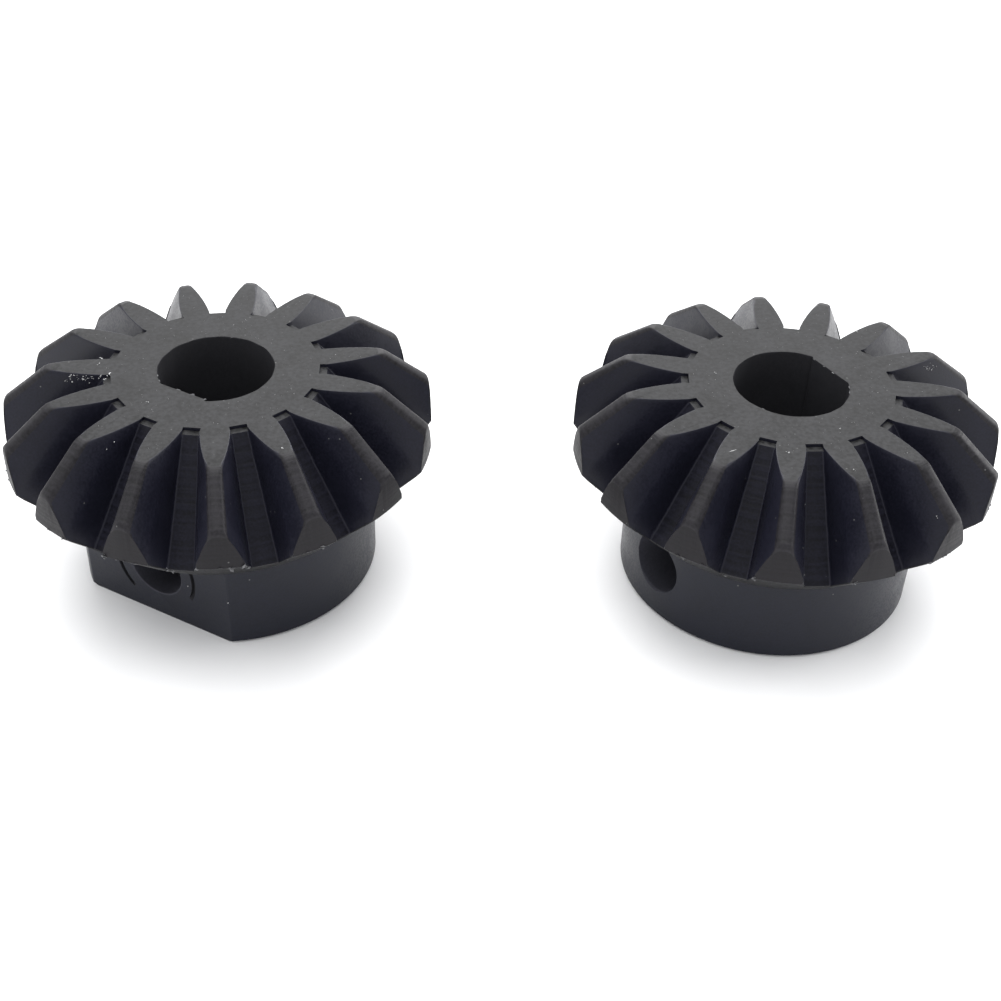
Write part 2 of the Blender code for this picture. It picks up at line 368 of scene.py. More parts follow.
def tooth_columns():
    """All the gear's columns in order around it, and how many columns each is past the edge of a notch."""
    half, notch_start = half_tooth()
    columns = []
    in_notch = []
    for tooth in range(TEETH):
        middle = FIRST_TOOTH + tooth * PITCH
        for i in range(len(half) - 1, 0, -1):
            top, rim = half[i]
            zone = half[i - 1][0][2]
            columns.append(Column((middle - top[0], middle - rim[0]), (top[1], rim[1]), zone))
            in_notch.append(i - notch_start)
        for i in range(len(half) - 1):
            top, rim = half[i]
            columns.append(Column((middle + top[0], middle + rim[0]), (top[1], rim[1]), top[2]))
            in_notch.append(i - notch_start)
    return columns, in_notch


class Shell:
    """A mesh under construction, in millimetres, with a zone for each face."""

    def __init__(self):
        self.points = []
        self.faces = []
        self.zones = []

    def add(self, corners, zone):
        start = len(self.points)
        self.points.extend(corners)
        self.faces.append(list(range(start, start + len(corners))))
        self.zones.append(zone)

    def strip(self, first, second, zone):
        """Quads between two rows of points of the same length."""
        for i in range(len(first) - 1):
            self.add([first[i], first[i + 1], second[i + 1], second[i]], zone)

    def plane(self, loops, zone):
        """A flat face with holes, as triangles."""
        joined = [p for loop in loops for p in loop]
        for triangle in tessellate_polygon(loops):
            self.add([joined[i] for i in triangle], zone)

    def build(self, name, materials):
        mesh = bpy.data.meshes.new(name)
        mesh.from_pydata([p * MM for p in self.points], [], self.faces)
        mesh.polygons.foreach_set("material_index", self.zones)
        for material in materials:
            mesh.materials.append(material)
        bm = bmesh.new()
        bm.from_mesh(mesh)
        bmesh.ops.remove_doubles(bm, verts=bm.verts, dist=0.002 * MM)
        bmesh.ops.dissolve_degenerate(bm, edges=bm.edges, dist=0.001 * MM)
        bmesh.ops.recalc_face_normals(bm, faces=bm.faces)
        open_edges = sum(1 for e in bm.edges if len(e.link_faces) != 2)
        print(name, "faces", len(bm.faces), "open edges", open_edges)
        bm.to_mesh(mesh)
        bm.free()
        item = bpy.data.objects.new(name, mesh)
        bpy.context.scene.collection.objects.link(item)
        return item


def smoothstep(t):
    t = min(1.0, max(0.0, t))
    return t * t * (3 - 2 * t)


def side_step(points, i, normal):
    """Unit vector square to a closed outline at point i, in the surface with this normal, to its left."""
    along = points[(i + 1) % len(points)] - points[i - 1]
    return normal.cross(along).normalized()


def dress(columns, corners, exits, i, near_notch):
    """A column's points: over the top face's edge, down the tooth and over its exit, and down the rim."""
    column = columns[i]
    tipness = smoothstep((column.height / ADDENDUM - TIP_FROM) / (1 - TIP_FROM))
    width = NOTCH_EDGE if near_notch else LEAF_EDGE + (LEAF_TIP_EDGE - LEAF_EDGE) * tipness ** 2
    inward = Vector((-corners[i].x, -corners[i].y, 0.0)).normalized()
    step = side_step(corners, i, UP) * (1 - tipness) + inward * tipness
    inset = corners[i] + step.normalized() * width
    ray = (exits[i] - corners[i]).normalized()
    floor = column.at(TOP_DROP + NOTCH_DEPTH)
    upper = bend(inset, corners[i], corners[i] + ray * width, EDGE_STEPS) + [floor]
    exit_edge = EXIT_EDGE + (EXIT_TIP_EDGE - EXIT_EDGE) * tipness ** 3
    radial = Vector((exits[i].x, exits[i].y, 0.0)).normalized()
    if column.at_foot:
        direction = foot_direction(columns, i)
    else:
        outward = radial if column.on_rim else (radial - UP).normalized()
        direction = side_step(exits, i, outward)
    if column.on_rim and not column.at_foot:
        direction = (direction * (1 - tipness) - UP * tipness).normalized()
    landed = exits[i] + direction * exit_edge
    if column.on_rim:
        flat = Vector((landed.x, landed.y, 0.0)).normalized() * OUTER_R
        landed = Vector((flat.x, flat.y, landed.z))
    last = exits[i] - ray * exit_edge
    rows = [floor + (last - floor) * k / FACE_ROWS for k in range(FACE_ROWS)]
    waver(rows, column)
    out = Vector((landed.x, landed.y, 0.0)).normalized()
    foot = Vector((out.x * OUTER_R, out.y * OUTER_R, OUTER_FACE_FOOT_Z))
    back = Vector((out.x * BACK_R, out.y * BACK_R, BACK_FACE_Z))
    rim = (landed, foot if column.on_rim else landed, back)
    return upper, rows + bend(last, exits[i], landed, EDGE_STEPS), rim


def teeth(shell):
    """Toothed face, its rounded edges, the notches and the rim. Returns the top and back outlines and the
    points where the columns come out at the rim."""
    columns, notch = tooth_columns()
    count = len(columns)
    corners = [c.at(TOP_DROP) for c in columns]
    exits = [c.at(c.exit_drop) for c in columns]
    upper, main, rim = zip(*(dress(columns, corners, exits, i, notch[i] >= -1) for i in range(count)))
    for i in range(count):
        j = (i + 1) % count
        zone = columns[i].zone
        if notch[i] <= 0 and notch[j] <= 0:
            shell.strip(upper[i], upper[j], zone)
        shell.strip(main[i][:FACE_ROWS + 1], main[j][:FACE_ROWS + 1], zone)
        # The lower exit edges take the paler rim-edge colour, a painted highlight.
        exit_zone = TIP if columns[i].height > 0.5 * ADDENDUM else EDGE
        shell.strip(main[i][FACE_ROWS:], main[j][FACE_ROWS:], exit_zone)
        if columns[i].on_rim and columns[j].on_rim:
            shell.add([rim[i][0], rim[j][0], rim[j][1], rim[i][1]], OUTER)
            shell.add([rim[i][1], rim[j][1], rim[j][2], rim[i][2]], BACK)
        else:
            shell.add([rim[i][0], rim[j][0], rim[j][2], rim[i][2]], BACK)
    outline = []
    for i in range(count):
        if notch[i] <= 0:
            outline.append(upper[i][0])
        if notch[i] == 0 and notch[(i + 1) % count] > 0:
            end = i
            while notch[(end + 1) % count] > 0:
                end += 1
            end = (end + 1) % count
            outline.extend(notch_pocket(shell, columns, upper, main, i, end))
    back = [r[2] for r in rim]
    return outline, back, exits


def waver(rows, column):
    """Moves a column a little sideways and back, as the cutter did, in the fillets and on the tip's edges."""
    middle = FIRST_TOOTH + round((column.angles[0] - FIRST_TOOTH) / PITCH) * PITCH
    offset = column.angles[0] - middle
    if abs(offset) < TINY:
        return
    side = math.copysign(1.0, offset)
    in_fillet = math.exp(-((column.height + DEDENDUM - FILLET_MIDDLE) / FILLET_REACH) ** 2)
    on_tip = math.exp(-((column.height - ADDENDUM) / TIP_REACH) ** 2)
    reach = FILLET_WAVER * in_fillet + TIP_WAVER * on_tip
    for k in range(2, len(rows)):
        p = rows[k]
        # The second coordinate only gives each side of each tooth a waver of its own.
        shake = noise.noise(Vector(((APEX_Z - p.z) * WAVER_PER_MM, middle * 9.0 + side * 3.0, 0.0)))
        ease = min(1.0, (k - 1) / WAVER_EASE_ROWS, (len(rows) - k) / WAVER_EASE_ROWS)
        turned = side * reach * shake * ease / math.hypot(p.x, p.y)
        rows[k] = Matrix.Rotation(turned, 3, "Z") @ p


def foot_direction(columns, i):
    """Along the rim's foot, into the tooth."""
    radial = Vector((math.cos(columns[i].angles[1]), math.sin(columns[i].angles[1]), 0.0))
    rising = columns[(i + 1) % len(columns)].height > columns[i].height
    return UP.cross(radial) * (1.0 if rising else -1.0)


def notch_pocket(shell, columns, upper, main, start, end):
    """The shallow step at the small end of a space. Returns its corners in the top face."""
    middle = (columns[start].angles[0] + columns[end].angles[0]) / 2
    if abs(columns[end].angles[0] - columns[start].angles[0]) > math.pi:
        middle += math.pi
    out = Vector((math.cos(middle), math.sin(middle), 0.0))
    across = Vector((-out.y, out.x, 0.0))
    ends = [out * NOTCH_R + across * upper[i][0].dot(across) for i in (start, end)]
    tops = [p + Vector((0.0, 0.0, HEIGHT)) for p in ends]
    floors = [p + Vector((0.0, 0.0, HEIGHT - NOTCH_DEPTH)) for p in ends]
    shell.add([tops[0], tops[1], floors[1], floors[0]], FLANK)
    for i, top, floor in zip((start, end), tops, floors):
        shell.add([top, *upper[i], floor], FLANK)
    count = len(columns)
    span = [(start + k) % count for k in range((end - start) % count + 1)]
    shell.add([floors[0], *[main[i][0] for i in span], floors[1]], TOP)
    return tops


def hub_loop(radius, flat, z):
    """The hub's outline: a circle with one flat towards +X, its two corners rounded off."""
    half = math.acos(flat / radius)
    trim = HUB_CORNER_ROUND / radius
    round_part = []
    for i in range(LOOP_STEPS + 1):
        a = half + trim + (2 * math.pi - 2 * (half + trim)) * i / LOOP_STEPS
        round_part.append(Vector((radius * math.cos(a), radius * math.sin(a), z)))
    reach = radius * math.sin(half)
    corners = [Vector((flat, -reach, z)), Vector((flat, reach, z))]
    inner = [Vector((flat, -reach + HUB_CORNER_ROUND, z)), Vector((flat, reach - HUB_CORNER_ROUND, z))]
    low = bend(round_part[-1], corners[0], inner[0], EDGE_STEPS)[1:]
    high = bend(inner[1], corners[1], round_part[0], EDGE_STEPS)[:-1]
    straight = [inner[0] + (inner[1] - inner[0]) * k / HUB_FLAT_STEPS for k in range(1, HUB_FLAT_STEPS)]
    return round_part + low + straight + high


def walls(shell, rings, zone):
    """Faces between closed rings of points, each with the next."""
    for lower, upper in zip(rings, rings[1:]):
        for i in range(len(lower)):
            j = (i + 1) % len(lower)
            shell.add([lower[i], lower[j], upper[j], upper[i]], zone)


def bore_loop(z, grow, seed):
    """The bore's outline: a step at one end of its flat, and the slight unevenness of its edge."""
    radius, flat = BORE_R + grow, BORE_FLAT + grow
    step_y = math.sqrt(radius ** 2 - (flat + BORE_STEP) ** 2)
    low_angle = -math.acos(flat / radius)
    high_angle = math.acos((flat + BORE_STEP) / radius)
    sweep = 2 * math.pi + low_angle - high_angle
    loop = []
    for i in range(LOOP_STEPS + 1):
        a = high_angle + sweep * i / LOOP_STEPS
        loop.append(Vector((radius * math.cos(a), radius * math.sin(a), z)))
    start = Vector((flat, radius * math.sin(low_angle), z))
    end = Vector((flat, step_y - BORE_STEP, z))
    loop += [start + (end - start) * k / BORE_FLAT_STEPS for k in range(1, BORE_FLAT_STEPS + 1)]
    for p in loop:
        out = Vector((p.x, p.y, 0.0)).normalized()
        p += out * BORE_WAVER * noise.noise(Vector((p.x * BORE_WAVER_PER_MM, p.y * BORE_WAVER_PER_MM, seed)))
    return loop


def make_gear(side, materials):
    """One gear: its toothed blank, and its hub with the cross hole cut through, as one mesh."""
    seed = BORE_WAVER_SEED[side]
    blank = Shell()
    outline, back, exits = teeth(blank)
    levels = (BACK_FACE_Z, 0.0), (HEIGHT - BORE_TOP_BREAK_DEPTH, 0.0), (HEIGHT, BORE_TOP_BREAK)
    bore_rings = [bore_loop(z, grow, seed) for z, grow in levels]
    walls(blank, bore_rings, BORE)
    blank.plane([outline, bore_rings[-1]], TOP)
    blank.plane([back, bore_rings[0]], BACK)
    gear = blank.build(side + "_gear_body", materials)
    shell = Shell()
    levels = (0.0, BORE_CHAMFER), (BORE_CHAMFER, 0.0), (BACK_FACE_Z, 0.0)
    bore_rings = [bore_loop(z, grow, seed) for z, grow in levels]
    walls(shell, bore_rings, BORE)
    hub_rings = [
        hub_loop(HUB_R - HUB_CHAMFER, HUB_FLAT - HUB_FLAT_CHAMFER, 0.0),
        hub_loop(HUB_R, HUB_FLAT, HUB_CHAMFER),
        hub_loop(HUB_R, HUB_FLAT, BACK_FACE_Z),
    ]
    walls(shell, hub_rings, HUB)
    shell.plane([hub_rings[0], bore_rings[0]], HUB)
    shell.plane([hub_rings[-1], bore_rings[-1]], BACK)
    hub = shell.build(side + "_hub", materials)
    drill(hub)
    join(gear, hub)
    finish_edges(gear, GEAR_SHARP_ANGLE)
    return gear, exits


def join(item, other):
    """Adds another mesh with the same materials to this one."""
    bm = bmesh.new()
    bm.from_mesh(item.data)
    bm.from_mesh(other.data)
    bm.to_mesh(item.data)
    bm.free()
    bpy.data.objects.remove(other)


def hole_cutter(outline, z):
    """A solid turned about X at this height. Its outline, (place along X, radius), starts and ends on X."""
    bm = bmesh.new()
    verts = [bm.verts.new((x * MM, 0.0, r * MM)) for x, r in outline]
    edges = [bm.edges.new((a, b)) for a, b in zip(verts, verts[1:])]
    bmesh.ops.spin(bm, geom=verts + edges, axis=(1, 0, 0), cent=(0, 0, 0), angle=2 * math.pi,
                   steps=HOLE_STEPS)
    bmesh.ops.remove_doubles(bm, verts=bm.verts, dist=0.001 * MM)
    bmesh.ops.recalc_face_normals(bm, faces=bm.faces)
    bmesh.ops.translate(bm, verts=bm.verts, vec=(0.0, 0.0, z * MM))
    mesh = bpy.data.meshes.new("hole")
    bm.to_mesh(mesh)
    bm.free()
    cutter = bpy.data.objects.new("hole", mesh)
    bpy.context.scene.collection.objects.link(cutter)
    return cutter


def cut(item, cutter, material):
    """Cuts one mesh out of another. The new faces get this material."""
    cutter.data.materials.append(material)
    boolean = item.modifiers.new("Cut", "BOOLEAN")
    boolean.operation = "DIFFERENCE"
    boolean.object = cutter
    boolean.solver = "EXACT"
    apply_modifiers(item)
    bpy.data.objects.remove(cutter)


def apply_modifiers(item):
    graph = bpy.context.evaluated_depsgraph_get()
    mesh = bpy.data.meshes.new_from_object(item.evaluated_get(graph))
    item.modifiers.clear()
    item.data = mesh


def drill(hub):
    """Cross hole with deburred mouths, and the ring on the hub's flat."""
    # The hole's new faces take the hole colour, which holds painted fill light.
    cut(hub, hole_cutter(FLAT_WALL_HOLE, CROSS_HOLE_Z), hub.data.materials[HOLE])
    cut(hub, hole_cutter(ROUND_WALL_HOLE, CROSS_HOLE_Z + ROUND_WALL_RISE), hub.data.materials[HOLE])
    # The ring's faces take the bore's colour, which holds painted fill light.
    cut(hub, seat_ring_cutter(), hub.data.materials[BORE])


def seat_ring_cutter():
    """The ring of a spot facer that only bit at its two sides: its depth runs out above and below."""
    half = SEAT_RING_WIDTH / 2
    floor_half = half * SEAT_RING_FLOOR_SHARE
    high = HUB_FLAT + 1.0
    rings = []
    for k in range(SEAT_RING_STEPS):
        a = 2 * math.pi * k / SEAT_RING_STEPS
        bite = smoothstep((abs(math.cos(a - SEAT_RING_TILT)) - SEAT_RING_BITE_FROM) / SEAT_RING_BITE_SPAN)
        low = HUB_FLAT + SEAT_RING_CLEAR - (SEAT_RING_DEPTH + SEAT_RING_CLEAR) * bite
        ring = []
        for share, r in ((1.0, half), (0.0, floor_half), (0.0, -floor_half), (1.0, -half)):
            radius = SEAT_RING_R + r
            y, z = radius * math.cos(a), CROSS_HOLE_Z + radius * math.sin(a)
            ring.append(Vector((low + (high - low) * share, y, z)))
        rings.append(ring)
    shell = Shell()
    walls(shell, rings + rings[:1], 0)
    return shell.build("seat_ring", [])


def finish_edges(item, degrees):
    """Smooth shading with sharp edges above this angle, and normals that follow the larger faces."""
    item.data.shade_smooth()
    item.data.set_sharp_from_angle(angle=math.radians(degrees))
    weighted = item.modifiers.new("Weighted normals", "WEIGHTED_NORMAL")
    weighted.keep_sharp = True
    weighted.weight = 80
    apply_modifiers(item)


def sliver(shell, root, along, out, dice):
    """A torn-up flake of plastic that stands on an edge."""
    half = along * dice.uniform(0.08, 0.3)
    tip = root + out * dice.uniform(0.05, 0.16) + along * dice.uniform(-0.2, 0.2)
    tip.z += dice.uniform(-0.08, 0.12)
    corners = [root - half, root + half, tip, root - out * 0.12]
    for a, b, c in ((0, 1, 2), (0, 3, 1), (1, 3, 2), (2, 3, 0)):
        shell.add([corners[a], corners[b], corners[c]], BURR)


def grain(shell, centre, size, dice, zone=DUST):
    """A grain of dust or a chip, as an uneven eight-sided solid."""
    axes = [Vector([dice.uniform(-1, 1) for _ in range(3)]).normalized() for _ in range(2)]
    third = axes[0].cross(axes[1]).normalized()
    second = third.cross(axes[0])
    long_tip = axes[0] * size * dice.uniform(0.7, 1.6)
    tips = [long_tip, second * size * dice.uniform(0.4, 0.9), third * size * 0.5]
    ends = [(centre + t, centre - t) for t in tips]
    for i in (0, 1):
        for j in (0, 1):
            for k in (0, 1):
                shell.add([ends[0][i], ends[1][j], ends[2][k]], zone)


def polar(radius, degrees, z):
    a = math.radians(degrees)
    return Vector((radius * math.cos(a), radius * math.sin(a), z))


def turn_between(first, second):
    """Degrees from one direction to another, from -180 to 180."""
    return (second - first + 180) % 360 - 180


def rim_burrs(shell, side, exits, dice):
    """Chips and slivers at the listed places on the rim, and slivers at random ones."""
    count = len(exits)
    turns = [math.degrees(math.atan2(p.y, p.x)) % 360 for p in exits]
    anchors = [polar(OUTER_R, turns[i], OUTER_FACE_FOOT_Z) if exits[i].z > OUTER_FACE_FOOT_Z else exits[i]
               for i in range(count)]
    spots = [min(range(count), key=lambda i: abs(turn_between(a, turns[i]))) for a in RIM_BURRS[side]]
    for i in spots:
        for _ in range(2):
            centre = anchors[i] + Vector([dice.uniform(-0.12, 0.12) for _ in range(3)])
            grain(shell, centre, dice.uniform(*BURR_SIZE), dice, BURR)
    spots = [i for i in spots for _ in range(4)] + [dice.randrange(count) for _ in range(RANDOM_SLIVERS)]
    for i in spots:
        along = (anchors[(i + 1) % count] - anchors[i - 1]).normalized()
        out = Vector((anchors[i].x, anchors[i].y, 0.0)).normalized()
        out = (out - Vector((0.0, 0.0, dice.uniform(0.0, 0.8)))).normalized()
        sliver(shell, anchors[i] + along * dice.uniform(-0.2, 0.2), along, out, dice)


def bore_slivers(shell, dice):
    """Slivers that lean in over the bore's upper edge."""
    flat_half_span = math.degrees(math.acos(BORE_FLAT / BORE_R))
    for degrees in BORE_SLIVERS:
        a = math.radians(degrees + dice.uniform(-2, 2))
        on_flat = abs(turn_between(0, degrees)) < flat_half_span
        root = polar(BORE_FLAT / math.cos(a) if on_flat else BORE_R, math.degrees(a), HEIGHT)
        along = Vector((-root.y, root.x, 0.0)).normalized()
        inward = Vector((root.x, root.y, 0.0)).normalized() * -0.6
        sliver(shell, root - Vector((0.0, 0.0, 0.03)), along, inward, dice)


def top_dust(shell, side, dice):
    """Dust at the listed places in the top face, and fine dust around the bore and on the teeth."""
    for radius, degrees in TOP_DUST[side]:
        for _ in range(2):
            spot = polar(radius + dice.uniform(-0.15, 0.15), degrees + dice.uniform(-1, 1), HEIGHT)
            grain(shell, spot, dice.uniform(*TOP_DUST_SIZE), dice)
    for _ in range(RANDOM_RING_DUST):
        spot = polar(dice.uniform(5.6, 8.8), dice.uniform(0, 360), HEIGHT)
        grain(shell, spot, dice.uniform(*FINE_DUST_SIZE), dice)
    for _ in range(RANDOM_TOOTH_DUST):
        degrees = (dice.randrange(TEETH) + 0.5 + dice.uniform(-0.12, 0.12)) * 360 / TEETH
        grain(shell, polar(dice.uniform(9.0, 13.0), degrees, HEIGHT), dice.uniform(*FINE_DUST_SIZE), dice)


def side_dust(shell, side, dice):
    """Dust on the teeth's sides, each grain between two neighbouring columns."""
    columns, _ = tooth_columns()
    for tooth, turn, number, low, high, near, far in SIDE_DUST[side]:
        middle = FIRST_TOOTH + tooth * PITCH
        flank = [c for c in columns if low <= c.height <= high
                 and 0 < ((c.angles[0] - middle) * turn + math.pi) % (2 * math.pi) - math.pi < PITCH / 2]
        for _ in range(number):
            k = dice.randrange(len(flank))
            drop = TOP_DROP + dice.uniform(near, far)
            spot = flank[k].at(drop).lerp(flank[max(k - 1, 0)].at(drop), dice.random())
            grain(shell, spot, dice.uniform(*SIDE_DUST_SIZE), dice)


def scratches(shell, side):
    """Pale torn-up lines in the top face, as flat wedges with a low ridge."""
    low = HEIGHT - SCRATCH_DEPTH
    for radius, degrees, end_radius, end_degrees in SCRATCHES[side]:
        start, end = polar(radius, degrees, low), polar(end_radius, end_degrees, low)
        middle = (start + end) / 2
        across = (end - start).cross(UP).normalized() * SCRATCH_WIDTH
        ridge = middle + UP * SCRATCH_RIDGE
        foot = [start, middle + across, end, middle - across]
        for a, b in zip(foot, foot[1:] + foot[:1]):
            shell.add([a, b, ridge], DUST)
        shell.add([start, middle - across, end, middle + across], DUST)


def make_litter(side, exits, materials):
    """The burrs on a gear's edges and the dust and chips that lie on it."""
    dice = random.Random(LITTER_SEED[side])
    shell = Shell()
    rim_burrs(shell, side, exits, dice)
    bore_slivers(shell, dice)
    top_dust(shell, side, dice)
    for spot in HUB_DUST[side]:
        grain(shell, Vector(spot), HUB_DUST_SIZE, dice)
    side_dust(shell, side, dice)
    scratches(shell, side)
    return shell.build(side + "_burrs_and_dust", materials)


def keep_in_box(item, box):
    """Holds every corner of a mesh inside the box of the CAD model."""
    low, high = box
    for vertex in item.data.vertices:
        p = vertex.co + item.location
        held = [min(max(p[k], low[k] + LOW_MARGIN * MM), high[k] - HIGH_MARGIN * MM) for k in range(3)]
        vertex.co = Vector(held) - item.location


def thread_radius(x, angle):
    """Radius of the set screw's thread, which runs out at both ends."""
    phase = (x / SCREW_PITCH - angle / (2 * math.pi)) % 1.0
    ridge = min(1.0, max(0.0, 1.25 * (1 - abs(2 * phase - 1)) - 0.1))
    run_out = smoothstep(min(x / THREAD_RUN_OUT, (SCREW_LENGTH - x) / THREAD_RUN_IN))
    return SCREW_ROOT_R + (SCREW_CREST_R - SCREW_ROOT_R) * ridge * run_out


def make_screw(side, material):
    """Socket set screw with a flat point, a real thread and a hexagon socket."""
    rows = int(SCREW_LENGTH / SCREW_PITCH * ROWS_PER_THREAD)
    angles = [2 * math.pi * k / SCREW_STEPS for k in range(SCREW_STEPS)]

    def spot(x, r, a):
        return Vector((SCREW_TIP + x, r * math.cos(a), CROSS_HOLE_Z + r * math.sin(a)))

    rings = [[spot(0.0, SCREW_ROOT_R - SCREW_POINT_CHAMFER, a) for a in angles]]
    threaded = SCREW_LENGTH - SCREW_POINT_LENGTH - SCREW_TOP_CHAMFER
    for i in range(rows + 1):
        x = SCREW_POINT_LENGTH + threaded * i / rows
        rings.append([spot(x, thread_radius(x, a), a) for a in angles])
    rings.append([spot(SCREW_LENGTH, SCREW_ROOT_R - SCREW_TOP_CHAMFER, a) for a in angles])
    shell = Shell()
    walls(shell, rings, 0)
    shell.plane([rings[0]], 0)
    socket_r = SOCKET_ACROSS_FLATS / math.sqrt(3.0)
    corners = [2 * math.pi * k / 6 + SOCKET_TURN for k in range(6)]
    mouth = [spot(SCREW_LENGTH, socket_r + SOCKET_CHAMFER, a) for a in corners]
    lip = [spot(SCREW_LENGTH - SOCKET_CHAMFER, socket_r, a) for a in corners]
    floor = [spot(SCREW_LENGTH - SOCKET_DEPTH, socket_r, a) for a in corners]
    pit = spot(SCREW_LENGTH - SOCKET_DEPTH - SOCKET_PIT, 0.0, 0.0)
    shell.plane([rings[-1], mouth], 0)
    walls(shell, [mouth, lip, floor], 0)
    for i in range(6):
        shell.add([floor[i], floor[(i + 1) % 6], pit], 0)
    screw = shell.build(side + "_screw", [material])
    finish_edges(screw, SCREW_SHARP_ANGLE)
    return screw


class Surface:
    """A material under construction: a Principled shader fed by noise in the gear's own millimetres."""

    def __init__(self, name, roughness, specular, metallic=0.0):
        self.material = bpy.data.materials.new(name)
        self.material.use_nodes = True
        self.tree = self.material.node_tree
        self.shader = self.tree.nodes["Principled BSDF"]
        self.shader.inputs["Roughness"].default_value = roughness
        self.shader.inputs["Specular IOR Level"].default_value = specular
        self.shader.inputs["Metallic"].default_value = metallic
        coordinates = self.add("ShaderNodeTexCoord")
        self.spot = self.maths_on_vector("SCALE", coordinates.outputs["Object"], scale=1 / MM)

    def add(self, kind, **settings):
        node = self.tree.nodes.new(kind)
        for key, value in settings.items():
            setattr(node, key, value)
        return node

    def feed(self, socket, value):
        """Links another node's output to a socket, or sets the socket to a number or colour."""
        if hasattr(value, "is_linked"):
            self.tree.links.new(value, socket)
        else:
            socket.default_value = value

    def maths(self, operation, first, second):
        node = self.add("ShaderNodeMath", operation=operation)
        self.feed(node.inputs[0], first)
        self.feed(node.inputs[1], second)
        return node.outputs[0]

    def weigh(self, first, second, share):
        """Adds this share of the first value to the rest of the second."""
        rest = self.maths("MULTIPLY", second, 1 - share)
        return self.maths("ADD", self.maths("MULTIPLY", first, share), rest)

    def maths_on_vector(self, operation, first, second=None, scale=None):
        node = self.add("ShaderNodeVectorMath", operation=operation)
        self.feed(node.inputs[0], first)
        if second is not None:
            self.feed(node.inputs[1], second)
        if scale is not None:
            node.inputs["Scale"].default_value = scale
        return node.outputs["Value" if operation == "LENGTH" else "Vector"]

    def noise(self, per_mm, detail, along=None):
        """Noise from 0 to 1: in space, or along a length in millimetres."""
        node = self.add("ShaderNodeTexNoise", noise_dimensions="3D" if along is None else "1D")
        if along is None:
            self.feed(node.inputs["Vector"], self.spot)
        else:
            self.feed(node.inputs["W"], along)
        node.inputs["Scale"].default_value = per_mm
        node.inputs["Detail"].default_value = detail
        return node.outputs["Fac"]

    def spread(self, value, low, high, first=0.0, last=1.0):
        """Maps a range of values smoothly onto another, and holds them inside it."""
        node = self.add("ShaderNodeMapRange", interpolation_type="SMOOTHSTEP")
        self.feed(node.inputs["Value"], value)
        for name, number in (("From Min", low), ("From Max", high), ("To Min", first), ("To Max", last)):
            node.inputs[name].default_value = number
        return node.outputs["Result"]

    def blend(self, amount, first, second):
        node = self.add("ShaderNodeMix", data_type="RGBA")
        self.feed(node.inputs["Factor"], amount)
        self.feed(node.inputs["A"], first if hasattr(first, "is_linked") else (*first, 1.0))
        self.feed(node.inputs["B"], second if hasattr(second, "is_linked") else (*second, 1.0))
        return node.outputs["Result"]

    def lines(self, kind):
        """The length that tool marks are counted along: "rungs" from the apex, "turned" up the axis."""
        if kind == "rungs":
            apex = (0.0, 0.0, APEX_Z)
            return self.maths_on_vector("LENGTH", self.maths_on_vector("SUBTRACT", self.spot, apex))
        parts = self.add("ShaderNodeSeparateXYZ")
        self.feed(parts.inputs["Vector"], self.spot)
        return parts.outputs["Z"]

    def flecks(self, per_mm, share, size):
        """Rare small spots: a few cells of a cell pattern, each with a dot in it."""
        cells = self.add("ShaderNodeTexVoronoi")
        self.feed(cells.inputs["Vector"], self.spot)
        cells.inputs["Scale"].default_value = per_mm
        colour = self.add("ShaderNodeSeparateColor")
        self.feed(colour.inputs["Color"], cells.outputs["Color"])
        chosen = self.maths("LESS_THAN", colour.outputs["Red"], share)
        dot = self.spread(cells.outputs["Distance"], size * 0.5, size, 1.0, 0.0)
        return self.maths("MULTIPLY", chosen, dot)

    def bump(self, height, millimetres):
        node = self.add("ShaderNodeBump")
        node.inputs["Strength"].default_value = 1.0
        node.inputs["Distance"].default_value = millimetres * MM
        self.feed(node.inputs["Height"], height)
        self.feed(self.shader.inputs["Normal"], node.outputs["Normal"])


def plastic(name, colour, roughness, marks=None, fleck_share=0.02, specular=0.22, contrast=0.3,
            grain_per_mm=5.0):
    """Machined black plastic: mottled grain, uneven gloss, a few pale specks, and tool marks given by the
    kind of their lines, how many there are in a millimetre, and their depth."""
    surface = Surface(name, roughness, specular)
    grain_noise = surface.noise(grain_per_mm, 5.0)
    height = surface.maths("MULTIPLY", grain_noise, GRAIN_HEIGHT)
    mixed = surface.weigh(grain_noise, surface.noise(CLOUDS_PER_MM, 2.0), GRAIN_SHARE)
    tone = surface.spread(mixed, 0.36, 0.64)
    if marks:
        kind, marks_per_mm, marks_depth = marks
        cuts = surface.noise(marks_per_mm, 2.0, surface.lines(kind))
        height = surface.maths("ADD", height, surface.maths("MULTIPLY", cuts, marks_depth / BUMP_HEIGHT))
        tone = surface.weigh(tone, surface.spread(cuts, 0.35, 0.65), 1 - MARKS_SHARE)
    dark = [c * (1 - contrast) for c in colour]
    light = [c * (1 + contrast) for c in colour]
    base = surface.blend(tone, dark, light)
    flecks = surface.flecks(FLECKS_PER_MM, fleck_share, FLECK_SIZE)
    surface.feed(surface.shader.inputs["Base Color"], surface.blend(flecks, base, FLECK_COLOUR))
    gloss = surface.spread(tone, 0.0, 1.0, roughness - GLOSS_SPREAD, roughness + GLOSS_SPREAD)
    surface.feed(surface.shader.inputs["Roughness"], gloss)
    surface.bump(height, BUMP_HEIGHT)
    return surface.material


def black_steel(name):
    """Black-oxide screw steel: fine grain and rubbed places."""
    surface = Surface(name, 0.45, 0.3, 0.6)
    grain_noise = surface.noise(8.0, 3.0)
    rubbed = surface.spread(surface.noise(1.4, 3.0), 0.5, 0.7)
    base = surface.blend(rubbed, (0.012, 0.012, 0.014), (0.035, 0.034, 0.033))
    surface.feed(surface.shader.inputs["Base Color"], base)
    surface.feed(surface.shader.inputs["Roughness"], surface.spread(grain_noise, 0.3, 0.7, 0.35, 0.55))
    surface.bump(grain_noise, STEEL_BUMP_HEIGHT)
    return surface.material


